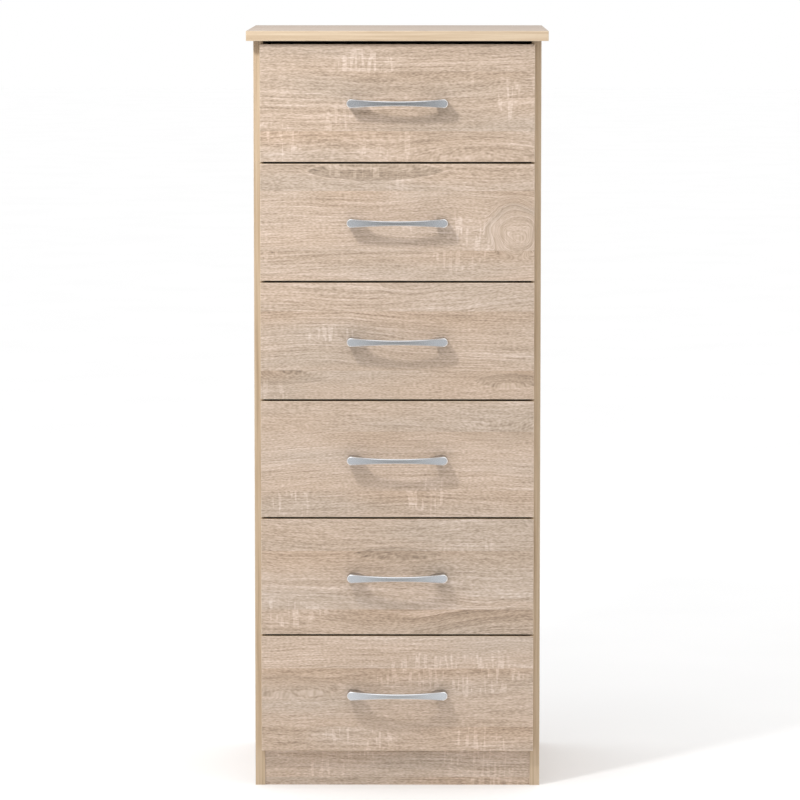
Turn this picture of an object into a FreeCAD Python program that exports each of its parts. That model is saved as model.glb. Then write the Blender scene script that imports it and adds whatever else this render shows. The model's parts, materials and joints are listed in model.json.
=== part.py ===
"""Tall chest of six drawers in oak-faced chipboard, built flat-pack fashion, as a parametric document.

Frame: millimetres, +X to the right, +Z up, the drawers open towards -Y. The origin is on the floor under the
middle of the overall box. Drawer 1 is the top one. Each sub-part is one object of the document. Its Label is
its name, and its shape is written to parts/NAME.step.
"""

import FreeCAD
import Part
import Sketcher
import os
import re

DRIVING_DIMENSIONS = [
    ("body_width", 430, "outside width of the carcass"),
    ("body_height", 1140, "floor to upper face of the top"),
    ("carcass_depth", 370, "depth of the side panels"),
    ("panel_thick", 15, "carcass board"),
    ("edge_round", 0.8, "rounding of a banded edge"),
    ("top_side_overhang", 10, "top past each side panel"),
    ("top_front_overhang", 11, "top past the faces of the drawers"),
    ("rear_overhang", 4, "top past the rear edges of the side panels"),
    ("plinth_height", 57, "floor to underside of the bottom panel"),
    ("plinth_recess", 2, "plinth behind the front edges of the sides"),
    ("rail_inset", 40, "rear rail in front of the rear edges of the sides"),
    ("back_thick", 3, "hardboard"),
    ("back_inset", 2, "back board inside the outer faces of the sides"),
    ("strip_height", 16, "joining strip, over both back boards"),
    ("strip_flange", 0.9, "joining strip flange"),
    ("strip_web", 1.2, "joining strip web, between the back boards"),
    ("strip_play", 0.1, "back board to joining strip, each face"),
    ("strip_end_play", 1, "joining strip to a side panel"),
    ("drawer_count", 6, "drawers"),
    ("front_width", 410, "drawer front"),
    ("front_height", 175, "drawer front"),
    ("front_thick", 15, "drawer front"),
    ("front_gap", 3, "between two drawer fronts"),
    ("floor_clearance", 55, "floor to the lowest drawer front"),
    ("box_lift", 20, "lower edge of a drawer front to its box"),
    ("box_height", 135, "drawer box"),
    ("box_depth", 350, "drawer box, behind the front"),
    ("box_board", 12, "drawer side and drawer back"),
    ("box_gap", 3, "drawer side to side panel"),
    ("bottom_thick", 3, "drawer bottom"),
    ("bottom_lift", 10, "lower edge of a drawer side to its bottom groove"),
    ("groove_depth", 5, "bottom groove"),
    ("groove_play", 0.1, "drawer bottom in its groove, each face"),
    ("groove_end_play", 0.3, "drawer bottom in its groove, at the edge"),
    ("runner_lift", 60, "lower edge of a drawer side to the middle of its runner"),
    ("runner_height", 17, "runner strip"),
    ("runner_length", 330, "runner strip"),
    ("runner_bite", 6, "runner inside the groove of the drawer side"),
    ("runner_play", 0.3, "groove over the runner, above and below"),
    ("runner_end_play", 0.5, "runner to the floor of the groove"),
    ("runner_setback", 5, "runner behind the front edge of the side panel"),
    ("runner_nose", 5, "rounding of the front end of a runner"),
    ("runner_screw_edge", 30, "end of a runner to its first screw"),
    ("fitting_inset", 40, "front or rear edge of a board to its first cam"),
    ("dowel_step", 32, "cam to dowel along a joint"),
    ("cam_setback", 24, "middle of a cam to the joint"),
    ("cam_diameter", 15, "cam lock"),
    ("cam_height", 12.5, "cam lock in a carcass board"),
    ("box_cam_height", 9.5, "cam lock in a drawer side"),
    ("cam_mouth", 7, "opening in a cam for the head of its bolt"),
    ("cam_cross_length", 8, "screwdriver recess of a cam"),
    ("cam_cross_depth", 1.5, "screwdriver recess of a cam"),
    ("cross_width", 1.2, "arm of a screwdriver recess"),
    ("bolt_diameter", 6, "cam bolt shank and head"),
    ("bolt_neck_diameter", 3.2, "cam bolt behind its head"),
    ("bolt_head_length", 3, "cam bolt head"),
    ("bolt_end_play", 0.5, "head of a cam bolt to the middle of its cam"),
    ("bolt_thread_diameter", 5, "cam bolt thread"),
    ("bolt_thread_length", 11, "cam bolt thread in the joined board"),
    ("dowel_diameter", 8, "dowel"),
    ("dowel_length", 30, "dowel"),
    ("dowel_face_depth", 10, "dowel in the face of the joined board"),
    ("dowel_taper", 1, "bevel on each end of a dowel"),
    ("plinth_cam_lift", 40, "floor to the cams of plinth and rail"),
    ("plinth_dowel_lift", 17, "floor to the dowels of plinth and rail"),
    ("low_cam_lift", 30, "lower edge of a drawer side to its first cam"),
    ("high_cam_lift", 105, "lower edge of a drawer side to its second cam"),
    ("screw_diameter", 3.5, "chipboard screw shank"),
    ("screw_head_diameter", 7, "chipboard screw head"),
    ("screw_head_height", 2.4, "chipboard screw head"),
    ("screw_cross_length", 4, "screwdriver recess of a screw"),
    ("screw_cross_depth", 1.2, "screwdriver recess of a screw"),
    ("seat_depth", 3, "seat for the head of a chipboard screw"),
    ("runner_screw_length", 16, "runner screw under its head"),
    ("box_screw_length", 36, "drawer box screw under its head"),
    ("low_screw_lift", 35, "lower edge of a drawer side to its first box screw"),
    ("high_screw_lift", 100, "lower edge of a drawer side to its second box screw"),
    ("hole_play", 0.1, "hole round its fastener, all round"),
    ("pin_diameter", 1.5, "panel pin"),
    ("pin_length", 18, "panel pin under its head"),
    ("pin_head_diameter", 3.2, "panel pin head"),
    ("pin_head_height", 0.5, "panel pin head"),
    ("pin_margin", 22, "end of a back board to its first pin"),
    ("pins_up", 6, "panel pins up each side of a back board"),
    ("pins_across", 4, "panel pins along the bottom panel"),
    ("handle_centres", 128, "distance between the screws of a handle"),
    ("handle_length", 151, "handle from end to end"),
    ("handle_reach", 31, "drawer face to the middle of the bow"),
    ("handle_end_reach", 23, "drawer face to the bow at its ends"),
    ("handle_bar", 5, "thickness of the bow"),
    ("handle_foot", 17, "length of a foot where it meets the drawer"),
    ("handle_throat", 10, "length that a foot gains where it meets the bow"),
    ("handle_end_width", 13, "height of the bow at its ends"),
    ("handle_waist", 7, "height of the bow in the middle"),
    ("handle_rim", 1.2, "bevel round the face of the bow"),
    ("handle_screw_diameter", 4, "handle screw"),
    ("handle_screw_length", 27, "handle screw under its head"),
    ("handle_screw_head", 8, "diameter of a handle screw's head"),
    ("handle_screw_head_height", 2.6, "handle screw head"),
    ("handle_thread_spare", 1, "threaded hole past the end of a handle screw"),
]

# Places and sizes that several pieces share, as expressions over the sheet.
INNER_WIDTH = "(body_width - 2 * panel_thick)"
SIDE_HEIGHT = "(body_height - panel_thick)"
REAR = "((carcass_depth + rear_overhang + front_thick + handle_reach) / 2)"
CARCASS_REAR = f"({REAR} - rear_overhang)"
CARCASS_FRONT = f"({CARCASS_REAR} - carcass_depth)"
DRAWER_FACE = f"({CARCASS_FRONT} - front_thick)"
BOX_WIDTH = f"({INNER_WIDTH} - 2 * box_gap)"
BOX_INNER = f"({BOX_WIDTH} - 2 * box_board)"
BOTTOM_SLOT = "(bottom_thick + 2 * groove_play)"
BOTTOM_BITE = "(groove_depth - groove_end_play)"
BOX_BACK_LIFT = f"(bottom_lift + {BOTTOM_SLOT})"
BOX_BACK_MIDDLE = "(box_depth - box_board / 2)"
RUNNER_THICK = "(box_gap + runner_bite)"
RUNNER_SCREW_DEPTH = f"(runner_screw_length + seat_depth - {RUNNER_THICK})"
RUNNER_SCREWS = ("runner_screw_edge", "runner_length / 2", "(runner_length - runner_screw_edge)")
CAM_LINES = ("fitting_inset", "(carcass_depth - fitting_inset)")
DOWEL_LINES = ("(fitting_inset + dowel_step)", "(carcass_depth - fitting_inset - dowel_step)")
DOWEL_EDGE_DEPTH = "(dowel_length - dowel_face_depth)"
PLINTH_LINE = "(plinth_recess + panel_thick / 2)"
RAIL_LINE = "(carcass_depth - rail_inset - panel_thick / 2)"
BOTTOM_LEVEL = "(plinth_height + panel_thick / 2)"
CAM_LIFTS = ("low_cam_lift", "high_cam_lift")
SCREW_LIFTS = ("low_screw_lift", "high_screw_lift")
BACK_JOINT = f"((plinth_height + {SIDE_HEIGHT}) / 2)"
BACK_HEIGHT = f"({BACK_JOINT} - strip_web / 2 - plinth_height)"
BACK_WIDTH = "(body_width - 2 * back_inset)"
UPPER_BACK = f"({BACK_JOINT} + strip_web / 2)"
PIN_DEPTH = "(pin_length - back_thick)"

doc = FreeCAD.newDocument("tall_chest")
sheet = doc.addObject("Spreadsheet::Sheet", "Dims")
for row, (alias, amount, meaning) in enumerate(DRIVING_DIMENSIONS, start=1):
    sheet.set(f"A{row}", meaning)
    sheet.set(f"B{row}", str(amount))
    sheet.setAlias(f"B{row}", alias)
doc.recompute()

sub_parts = []


def cells(expression):
    """The expression with each alias in it written as the sheet's cell."""
    return re.sub(r"[a-z]+(?:_[a-z]+)+", lambda word: "Dims." + word.group(), expression)


def number(expression):
    """The value of an expression over the sheet, as a plain number."""
    result = sheet.evalExpression(cells(expression))
    return float(getattr(result, "Value", result))


def bind(thing, prop, expression):
    thing.setExpression(prop, cells(expression))


def place(thing, at):
    """Puts an object's own origin at three expressions."""
    for axis, expression in zip("xyz", at):
        bind(thing, f"Placement.Base.{axis}", expression)


def new_body(label):
    body = doc.addObject("PartDesign::Body", label)
    body.Label = label
    return body


# ---------------------------------------------------------------- sketches


def new_sketch(body, plane, name):
    """A sketch on one of the body's own origin planes."""
    sketch = body.newObject("Sketcher::SketchObject", name)
    support = next(f for f in body.Origin.OriginFeatures if f.Role == plane)
    sketch.AttachmentSupport = [(support, "")]
    sketch.MapMode = "FlatFace"
    return sketch


def hold_point(sketch, item, end, at):
    """Ties a point of a sketch to the origin by two distances, each an expression."""
    for kind, expression in zip(("DistanceX", "DistanceY"), at):
        index = sketch.addConstraint(Sketcher.Constraint(kind, -1, 1, item, end, number(expression)))
        bind(sketch, f"Constraints[{index}]", expression)


def flat(at):
    """A point of a sketch from a pair of expressions."""
    return FreeCAD.Vector(number(at[0]), number(at[1]), 0)


def draw_circle(sketch, centre, diameter):
    radius = number(diameter) / 2
    item = sketch.addGeometry(Part.Circle(flat(centre), FreeCAD.Vector(0, 0, 1), radius), False)
    hold_point(sketch, item, 3, centre)
    index = sketch.addConstraint(Sketcher.Constraint("Diameter", item, 2 * radius))
    bind(sketch, f"Constraints[{index}]", diameter)


def draw_outline(sketch, path):
    """A closed outline.

    Each step of the path is a corner, or a corner and the middle of the arc that leads to the next corner.
    """
    corners = [step[:2] for step in path]
    items = []
    for corner, after, step in zip(corners, corners[1:] + corners[:1], path):
        start, end = flat(corner), flat(after)
        if len(step) == 2:
            items.append(sketch.addGeometry(Part.LineSegment(start, end), False))
            hold_point(sketch, items[-1], 1, corner)
            continue
        middle = flat(step[2:])
        items.append(sketch.addGeometry(Part.Arc(start, middle, end), False))
        turns_left = (middle - start).cross(end - middle).z > 0
        hold_point(sketch, items[-1], 1 if turns_left else 2, corner)
        marker = sketch.addGeometry(Part.Point(middle), True)
        hold_point(sketch, marker, 1, step[2:])
        sketch.addConstraint(Sketcher.Constraint("PointOnObject", marker, 1, items[-1]))
    join_ends(sketch, items)


def join_ends(sketch, items):
    """Makes the ends of neighbouring lines and arcs coincide."""
    for item, after in zip(items, items[1:] + items[:1]):
        pairs = [(a, b) for a in (1, 2) for b in (1, 2)]
        gap = {p: sketch.getPoint(item, p[0]).distanceToPoint(sketch.getPoint(after, p[1])) for p in pairs}
        near = min(pairs, key=gap.get)
        sketch.addConstraint(Sketcher.Constraint("Coincident", item, near[0], after, near[1]))


def draw_rectangle(sketch, corner, size):
    """A rectangle from its lower left corner and its size."""
    far = [f"({c}) + ({s})" for c, s in zip(corner, size)]
    draw_outline(sketch, [corner, (far[0], corner[1]), (far[0], far[1]), (corner[0], far[1])])


# ---------------------------------------------------------------- boards

# The faces of a board by their outward direction: the origin plane that each is parallel to, which of the
# board's sizes it stands off by, the sign of that move along the plane's own normal, and whether a pocket has
# to be reversed to go into the board.
FACES = {
    "left": ("YZ_Plane", None, 1, True),
    "right": ("YZ_Plane", 0, 1, False),
    "front": ("XZ_Plane", None, -1, False),
    "rear": ("XZ_Plane", 1, -1, True),
    "under": ("XY_Plane", None, 1, True),
    "top": ("XY_Plane", 2, 1, False),
}


class Board:
    """A board as a PartDesign body with its lowest corner at its own origin."""

    def __init__(self, label, size, at):
        self.size = size
        self.body = new_body(label)
        outline = new_sketch(self.body, "XY_Plane", "Outline")
        draw_rectangle(outline, ("0", "0"), size[:2])
        self.pad = self.body.newObject("PartDesign::Pad", "Blank")
        self.pad.Profile = outline
        bind(self.pad, "Length", size[2])
        place(self.body, at)
        doc.recompute()

    def round_edges(self, chosen, radius="edge_round"):
        """Rounds the edges of the blank that chosen(middle of the edge, size of the board) picks."""
        size = FreeCAD.Vector(*[number(s) for s in self.size])
        names = []
        for index, edge in enumerate(self.pad.Shape.Edges, start=1):
            middle = (edge.Vertexes[0].Point + edge.Vertexes[-1].Point) / 2
            if chosen(middle, size):
                names.append(f"Edge{index}")
        fillet = self.body.newObject("PartDesign::Fillet", "EdgeRounding")
        fillet.Base = (self.pad, names)
        bind(fillet, "Radius", radius)
        doc.recompute()

    def cut(self, face, draw, depth, name):
        """Pockets what draw(sketch) puts on a face, and checks that the board lost some volume."""
        plane, size_index, sign, reverse = FACES[face]
        sketch = new_sketch(self.body, plane, name + "Sketch")
        if size_index is not None:
            bind(sketch, "AttachmentOffset.Base.z", f"{sign} * ({self.size[size_index]})")
        draw(sketch)
        before = self.body.Shape.Volume
        pocket = self.body.newObject("PartDesign::Pocket", name)
        pocket.Profile = sketch
        pocket.Reversed = reverse
        bind(pocket, "Length", depth)
        doc.recompute()
        if not self.body.Shape.Volume < before - 1:
            raise RuntimeError(f"{self.body.Label}: {name} cut nothing")

    def drill(self, face, centres, diameter, depth, name):
        """Holes of one size in one face, each centre a pair of expressions, with play round the fastener."""

        def draw(sketch):
            for centre in centres:
                draw_circle(sketch, centre, f"{diameter} + 2 * hole_play")

        self.cut(face, draw, depth, name)

    def groove(self, face, corner, size, depth, name):
        self.cut(face, lambda sketch: draw_rectangle(sketch, corner, size), depth, name)

    def cam_holes(self, face, centres, height="cam_height"):
        self.drill(face, centres, "cam_diameter", f"{height} + hole_play", "CamHoles")

    def bolt_channels(self, face, centres):
        self.drill(face, centres, "bolt_diameter", "cam_setback", "BoltChannels")

    def bolt_seats(self, face, centres):
        self.drill(face, centres, "bolt_thread_diameter", "bolt_thread_length + hole_play", "BoltSeats")

    def dowel_holes(self, face, centres, depth):
        self.drill(face, centres, "dowel_diameter", f"{depth} + hole_play", "DowelHoles")

    def keep(self):
        """Counts the board among the sub-parts of the chest."""
        sub_parts.append(self.body)


def on_front(middle, size):
    return middle.y == 0


def upright_on_front(middle, size):
    return middle.y == 0 and 0 < middle.z < size.z


def not_on_rear(middle, size):
    return middle.y < size.y


def along_top(middle, size):
    return middle.z == size.z and 0 < middle.y < size.y


def across_top(middle, size):
    return middle.z == size.z and 0 < middle.x < size.x


def across_front(middle, size):
    return middle.y == 0 and 0 < middle.x < size.x


# ---------------------------------------------------------------- carcass


def front_level(drawer):
    """Height of the lower edge of a drawer front above the floor."""
    return f"(floor_clearance + (drawer_count - {drawer}) * (front_height + front_gap))"


def box_level(drawer):
    return f"({front_level(drawer)} + box_lift)"


def runner_level(drawer):
    """Height of the middle of a drawer's runners above the floor."""
    return f"({box_level(drawer)} + runner_lift)"


def pin_rise(index):
    """Height of a panel pin above the lower edge of its back board."""
    return f"(pin_margin + {index} * ({BACK_HEIGHT} - 2 * pin_margin) / (pins_up - 1))"


def pin_run(index):
    """Distance of a panel pin of the bottom row from the inner face of the left side panel."""
    return f"(({index} + 0.5) * {INNER_WIDTH} / pins_across)"


DRAWERS = range(1, int(number("drawer_count")) + 1)
PINS_UP = range(int(number("pins_up")))
PINS_ACROSS = range(int(number("pins_across")))


def make_top():
    size = (
        "(body_width + 2 * top_side_overhang)",
        "(top_front_overhang + front_thick + carcass_depth + rear_overhang)",
        "panel_thick",
    )
    at = ("-(body_width / 2 + top_side_overhang)", f"{DRAWER_FACE} - top_front_overhang", SIDE_HEIGHT)
    top = Board("top_panel", size, at)
    top.round_edges(not_on_rear)
    over_sides = (
        "top_side_overhang + panel_thick / 2",
        "top_side_overhang + body_width - panel_thick / 2",
    )
    lead = "top_front_overhang + front_thick"
    top.bolt_seats("under", [(x, f"{lead} + {y}") for x in over_sides for y in CAM_LINES])
    dowels = [(x, f"{lead} + {y}") for x in over_sides for y in DOWEL_LINES]
    top.dowel_holes("under", dowels, "dowel_face_depth")
    top.keep()


def make_side(label, x, inner_face):
    side = Board(label, ("panel_thick", "carcass_depth", SIDE_HEIGHT), (x, CARCASS_FRONT, "0"))
    side.round_edges(upright_on_front)
    middle = "panel_thick / 2"
    side.cam_holes(inner_face, [(y, f"{SIDE_HEIGHT} - cam_setback") for y in CAM_LINES])
    side.bolt_channels("top", [(middle, y) for y in CAM_LINES])
    side.dowel_holes("top", [(middle, y) for y in DOWEL_LINES], DOWEL_EDGE_DEPTH)
    kickboards = (PLINTH_LINE, RAIL_LINE)
    seats = [(y, BOTTOM_LEVEL) for y in CAM_LINES] + [(y, "plinth_cam_lift") for y in kickboards]
    side.bolt_seats(inner_face, seats)
    dowels = [(y, BOTTOM_LEVEL) for y in DOWEL_LINES] + [(y, "plinth_dowel_lift") for y in kickboards]
    side.dowel_holes(inner_face, dowels, "dowel_face_depth")
    pilots = [(f"runner_setback + {y}", runner_level(n)) for n in DRAWERS for y in RUNNER_SCREWS]
    depth = f"{RUNNER_SCREW_DEPTH} + hole_play"
    side.drill(inner_face, pilots, "screw_diameter", depth, "RunnerPilots")
    pins = [(middle, f"{base} + {pin_rise(i)}") for base in ("plinth_height", UPPER_BACK) for i in PINS_UP]
    side.drill("rear", pins, "pin_diameter", f"{PIN_DEPTH} + hole_play", "PinHoles")
    side.keep()


def make_bottom():
    at = (f"-{INNER_WIDTH} / 2", CARCASS_FRONT, "plinth_height")
    bottom = Board("bottom_panel", (INNER_WIDTH, "carcass_depth", "panel_thick"), at)
    bottom.round_edges(across_front)
    middle = "panel_thick / 2"
    cam_runs = ("cam_setback", f"{INNER_WIDTH} - cam_setback")
    bottom.cam_holes("under", [(x, y) for x in cam_runs for y in CAM_LINES])
    for end in ("left", "right"):
        bottom.bolt_channels(end, [(y, middle) for y in CAM_LINES])
        bottom.dowel_holes(end, [(y, middle) for y in DOWEL_LINES], DOWEL_EDGE_DEPTH)
    pins = [(pin_run(i), middle) for i in PINS_ACROSS]
    bottom.drill("rear", pins, "pin_diameter", f"{PIN_DEPTH} + hole_play", "PinHoles")
    bottom.keep()


def make_kickboard(label, line, cam_face):
    """The plinth, or the rail that stands behind it, by its middle line behind the front of the sides."""
    at = (f"-{INNER_WIDTH} / 2", f"{CARCASS_FRONT} + {line} - panel_thick / 2", "0")
    board = Board(label, (INNER_WIDTH, "panel_thick", "plinth_height"), at)
    cams = [(x, "plinth_cam_lift") for x in ("cam_setback", f"{INNER_WIDTH} - cam_setback")]
    board.cam_holes(cam_face, cams)
    for end in ("left", "right"):
        board.bolt_channels(end, [("panel_thick / 2", "plinth_cam_lift")])
        board.dowel_holes(end, [("panel_thick / 2", "plinth_dowel_lift")], DOWEL_EDGE_DEPTH)
    board.keep()


def make_back_board(label, level):
    board = Board(label, (BACK_WIDTH, "back_thick", BACK_HEIGHT), (f"-{BACK_WIDTH} / 2", CARCASS_REAR, level))
    middles = ("panel_thick / 2 - back_inset", f"{BACK_WIDTH} - panel_thick / 2 + back_inset")
    pins = [(x, pin_rise(i)) for x in middles for i in PINS_UP]
    if level == "plinth_height":
        pins += [(f"panel_thick - back_inset + {pin_run(i)}", "panel_thick / 2") for i in PINS_ACROSS]
    board.drill("rear", pins, "pin_diameter", "back_thick", "PinHoles")
    board.keep()


def make_joining_strip():
    """The H-shaped plastic strip that holds the two back boards edge to edge."""
    length = f"({INNER_WIDTH} - 2 * strip_end_play)"
    slot = "(back_thick + 2 * strip_play)"
    jaw = "((strip_height - strip_web) / 2)"
    at = (
        f"-{length} / 2",
        f"{CARCASS_REAR} - strip_play - strip_flange",
        f"{BACK_JOINT} - strip_height / 2",
    )
    strip = Board("back_joining_strip", (length, f"({slot} + 2 * strip_flange)", "strip_height"), at)
    strip.groove("left", ("strip_flange", "0"), (slot, jaw), length, "LowerJaw")
    strip.groove("left", ("strip_flange", f"{jaw} + strip_web"), (slot, jaw), length, "UpperJaw")
    strip.keep()


# ---------------------------------------------------------------- drawers


def make_front(n):
    at = ("-front_width / 2", DRAWER_FACE, front_level(n))
    front = Board(f"drawer_{n}_front", ("front_width", "front_thick", "front_height"), at)
    front.round_edges(on_front)
    screws = [(f"front_width / 2 {side} handle_centres / 2", "front_height / 2") for side in "-+"]
    front.drill("front", screws, "handle_screw_diameter", "front_thick", "HandleHoles")
    across = [f"front_width / 2 {side} ({BOX_WIDTH} - box_board) / 2" for side in "-+"]
    front.bolt_seats("rear", [(x, f"box_lift + {lift}") for x in across for lift in CAM_LIFTS])
    slot = f"({BOX_INNER} + 2 * groove_depth)"
    corner = (f"(front_width - {slot}) / 2", "box_lift + bottom_lift")
    front.groove("rear", corner, (slot, BOTTOM_SLOT), "groove_depth", "BottomGroove")
    front.keep()


def make_box_side(n, label, x, outer, inner):
    size = ("box_board", "box_depth", "box_height")
    side = Board(f"drawer_{n}_{label}", size, (x, CARCASS_FRONT, box_level(n)))
    side.round_edges(along_top)
    level = "runner_lift - runner_height / 2 - runner_play"
    height = "runner_height + 2 * runner_play"
    side.groove(outer, ("0", level), ("box_depth", height), "runner_bite + runner_end_play", "RunnerGroove")
    side.groove(inner, ("0", "bottom_lift"), ("box_depth", BOTTOM_SLOT), "groove_depth", "BottomGroove")
    side.cam_holes(inner, [("cam_setback", lift) for lift in CAM_LIFTS], "box_cam_height")
    side.bolt_channels("front", [("box_board / 2", lift) for lift in CAM_LIFTS])
    screws = [(BOX_BACK_MIDDLE, lift) for lift in SCREW_LIFTS]
    side.drill(outer, screws, "screw_diameter", "box_board", "ScrewHoles")
    side.drill(outer, screws, "screw_head_diameter", "seat_depth", "ScrewSeats")
    side.keep()


def make_box_back(n):
    size = (BOX_INNER, "box_board", f"(box_height - {BOX_BACK_LIFT})")
    at = (
        f"-{BOX_INNER} / 2",
        f"{CARCASS_FRONT} + box_depth - box_board",
        f"{box_level(n)} + {BOX_BACK_LIFT}",
    )
    back = Board(f"drawer_{n}_back", size, at)
    back.round_edges(across_top)
    pilots = [("box_board / 2", f"{lift} - {BOX_BACK_LIFT}") for lift in SCREW_LIFTS]
    for end in ("left", "right"):
        depth = "box_screw_length + seat_depth - box_board + hole_play"
        back.drill(end, pilots, "screw_diameter", depth, "ScrewPilots")
    back.keep()


def make_box_bottom(n):
    size = (f"({BOX_INNER} + 2 * {BOTTOM_BITE})", f"(box_depth + {BOTTOM_BITE})", "bottom_thick")
    at = (
        f"-({BOX_INNER} / 2 + {BOTTOM_BITE})",
        f"{CARCASS_FRONT} - {BOTTOM_BITE}",
        f"{box_level(n)} + bottom_lift + groove_play",
    )
    Board(f"drawer_{n}_bottom", size, at).keep()


def make_handle(n):
    """A cast bow handle: from above an arched bar on two feet, from the front narrower in the middle."""
    body = new_body(f"drawer_{n}_handle")
    half = "(handle_length / 2)"
    blank_end = f"({half} + handle_bar)"
    foot_end = f"({half} - handle_foot)"
    throat = f"({foot_end} - handle_throat)"
    inner_reach = "(handle_end_reach - handle_bar / 2)"
    plan = new_sketch(body, "XY_Plane", "Plan")
    draw_outline(
        plan,
        [
            (f"-{blank_end}", "0"),
            (f"-{blank_end}", "-handle_end_reach", "0", "-handle_reach"),
            (blank_end, "-handle_end_reach"),
            (blank_end, "0"),
            (foot_end, "0"),
            (throat, f"-{inner_reach}", "0", "-(handle_reach - handle_bar)"),
            (f"-{throat}", f"-{inner_reach}"),
            (f"-{foot_end}", "0"),
        ],
    )
    bow = body.newObject("PartDesign::Pad", "Bow")
    bow.Profile = plan
    bow.Midplane = True
    bind(bow, "Length", "2 * handle_end_width")
    doc.recompute()

    flare = "(handle_end_width / 2)"
    cap = f"({half} - {flare})"
    elevation = new_sketch(body, "XZ_Plane", "Elevation")
    draw_rectangle(elevation, (f"-2 * {half}", f"-4 * {flare}"), (f"4 * {half}", f"8 * {flare}"))
    draw_outline(
        elevation,
        [
            (f"-{cap}", flare, "0", "handle_waist / 2"),
            (cap, flare, half, "0"),
            (cap, f"-{flare}", "0", "-handle_waist / 2"),
            (f"-{cap}", f"-{flare}", f"-{half}", "0"),
        ],
    )
    trim = body.newObject("PartDesign::Pocket", "Trim")
    trim.Profile = elevation
    trim.Type = "ThroughAll"
    trim.Midplane = True
    doc.recompute()

    face = min(trim.Shape.Faces, key=lambda f: f.CenterOfMass.y)
    edges = enumerate(trim.Shape.Edges, start=1)
    rim = body.newObject("PartDesign::Chamfer", "Rim")
    rim.Base = (trim, [f"Edge{i}" for i, edge in edges if any(edge.isSame(own) for own in face.Edges)])
    bind(rim, "Size", "handle_rim")
    doc.recompute()

    holes = new_sketch(body, "XZ_Plane", "ScrewHolesSketch")
    for side in "-+":
        draw_circle(holes, (f"{side}handle_centres / 2", "0"), "handle_screw_diameter + 2 * hole_play")
    drilled = body.newObject("PartDesign::Pocket", "ScrewHoles")
    drilled.Profile = holes
    drilled.Reversed = True
    bind(drilled, "Length", "handle_screw_length - front_thick + handle_thread_spare")
    place(body, ("0", DRAWER_FACE, f"{front_level(n)} + front_height / 2"))
    doc.recompute()
    if not drilled.Shape.Volume < rim.Shape.Volume < trim.Shape.Volume < bow.Shape.Volume:
        raise RuntimeError(f"{body.Label}: a cut took nothing away")
    sub_parts.append(body)


def make_drawer(n):
    make_front(n)
    make_box_side(n, "left_side", f"-{BOX_WIDTH} / 2", "left", "right")
    make_box_side(n, "right_side", f"{BOX_WIDTH} / 2 - box_board", "right", "left")
    make_box_back(n)
    make_box_bottom(n)
    make_handle(n)


# ---------------------------------------------------------------- patterns for the repeated small pieces

# Each pattern points along +Z. A screw, bolt or pin has its origin where it meets the board under its head,
# a cam on its visible face and a dowel in the joint.


def rod(name, diameter, length, start="0"):
    solid = doc.addObject("Part::Cylinder", name)
    bind(solid, "Radius", f"({diameter}) / 2")
    bind(solid, "Height", length)
    bind(solid, "Placement.Base.z", start)
    return solid


def taper(name, lower_diameter, upper_diameter, length, start):
    solid = doc.addObject("Part::Cone", name)
    bind(solid, "Radius1", f"({lower_diameter}) / 2")
    bind(solid, "Radius2", f"({upper_diameter}) / 2")
    bind(solid, "Height", length)
    bind(solid, "Placement.Base.z", start)
    return solid


def block(name, size, at):
    solid = doc.addObject("Part::Box", name)
    for prop, expression in zip(("Length", "Width", "Height"), size):
        bind(solid, prop, expression)
    place(solid, at)
    return solid


def joined(name, solids):
    whole = doc.addObject("Part::MultiFuse", name)
    whole.Shapes = solids
    whole.Refine = True
    return whole


def cut_away(name, solid, tool):
    rest = doc.addObject("Part::Cut", name)
    rest.Base = solid
    rest.Tool = tool
    return rest


def cross(name, length, depth, level):
    """A screwdriver recess that goes down from a level."""
    bottom = f"{level} - {depth}"
    across = f"-{length} / 2"
    narrow = "-cross_width / 2"
    arms = [
        block(name + "ArmX", (length, "cross_width", depth), (across, narrow, bottom)),
        block(name + "ArmY", ("cross_width", length, depth), (narrow, across, bottom)),
    ]
    return joined(name, arms)


def screw_pattern(name, diameter, length, head_diameter, head_height):
    shank = rod(name + "Shank", diameter, length, f"-{length}")
    head = rod(name + "Head", head_diameter, head_height)
    recess = cross(name + "Cross", "screw_cross_length", "screw_cross_depth", head_height)
    return cut_away(name, joined(name + "Blank", [shank, head]), recess)


def cam_pattern(name, height, board):
    """A cam whose mouth opens towards +X, at the depth of the bolt in the middle of the board."""
    disc = rod(name + "Disc", "cam_diameter", height, f"-{height}")
    crown = f"({board} / 2 - cam_mouth / 2)"
    mouth = block(
        name + "Mouth",
        ("cam_diameter", "cam_mouth", height),
        ("-2 * bolt_end_play", "-cam_mouth / 2", f"-{height} - {crown}"),
    )
    recess = cross(name + "Cross", "cam_cross_length", "cam_cross_depth", "0")
    return cut_away(name, disc, joined(name + "Voids", [mouth, recess]))


def bolt_pattern(name):
    """A cam bolt: its thread goes up into the joined board, its head hangs down in the cam."""
    shank_length = "(cam_setback - cam_diameter / 2)"
    head_end = "(cam_setback - bolt_end_play)"
    neck = rod(name + "Neck", "bolt_neck_diameter", head_end, f"-{head_end}")
    pieces = [
        rod(name + "Thread", "bolt_thread_diameter", "bolt_thread_length"),
        rod(name + "Shank", "bolt_diameter", shank_length, f"-{shank_length}"),
        neck,
        rod(name + "Head", "bolt_diameter", "bolt_head_length", f"-{head_end}"),
    ]
    return joined(name, pieces)


def dowel_pattern(name):
    low = f"-{DOWEL_EDGE_DEPTH}"
    point = "(dowel_diameter - 2 * dowel_taper)"
    pieces = [
        taper(name + "Foot", point, "dowel_diameter", "dowel_taper", low),
        rod(name + "Body", "dowel_diameter", "dowel_length - 2 * dowel_taper", f"{low} + dowel_taper"),
        taper(name + "Tip", "dowel_diameter", point, "dowel_taper", "dowel_face_depth - dowel_taper"),
    ]
    return joined(name, pieces)


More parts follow.
